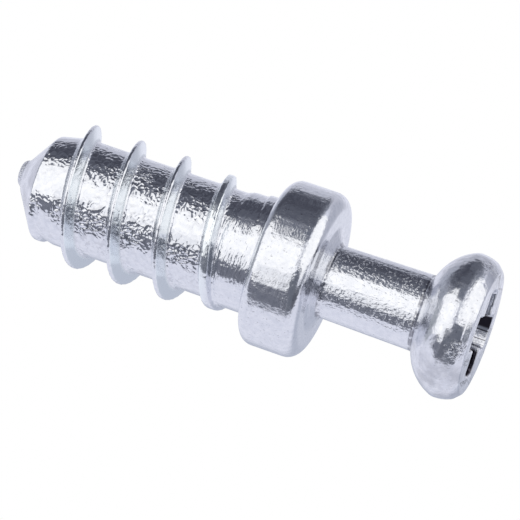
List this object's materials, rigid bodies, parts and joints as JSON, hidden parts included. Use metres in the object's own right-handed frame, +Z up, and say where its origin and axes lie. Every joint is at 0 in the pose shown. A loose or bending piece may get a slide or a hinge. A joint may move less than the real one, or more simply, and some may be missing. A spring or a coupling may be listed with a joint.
{
  "type": "screw-in furniture dowel",
  "caption": "Screw-in steel dowel of a cam furniture fitting: coarse thread with a pointed tip, round collar, slim neck and a mushroom head with a cross recess.",
  "frame": {"origin": "centre of the flat end of the head, which the dowel stands on", "axes": "+Z up along the dowel, from the head to the tip; -Y the side that the picture shows"},
  "size_m": [0.0074, 0.0074, 0.0217],
  "materials": {
    "zinc_plated_steel": "bright zinc plating on cold-formed steel"
  },
  "bodies": {
    "root": {"dowel": "zinc_plated_steel"}
  },
  "joints": []
}
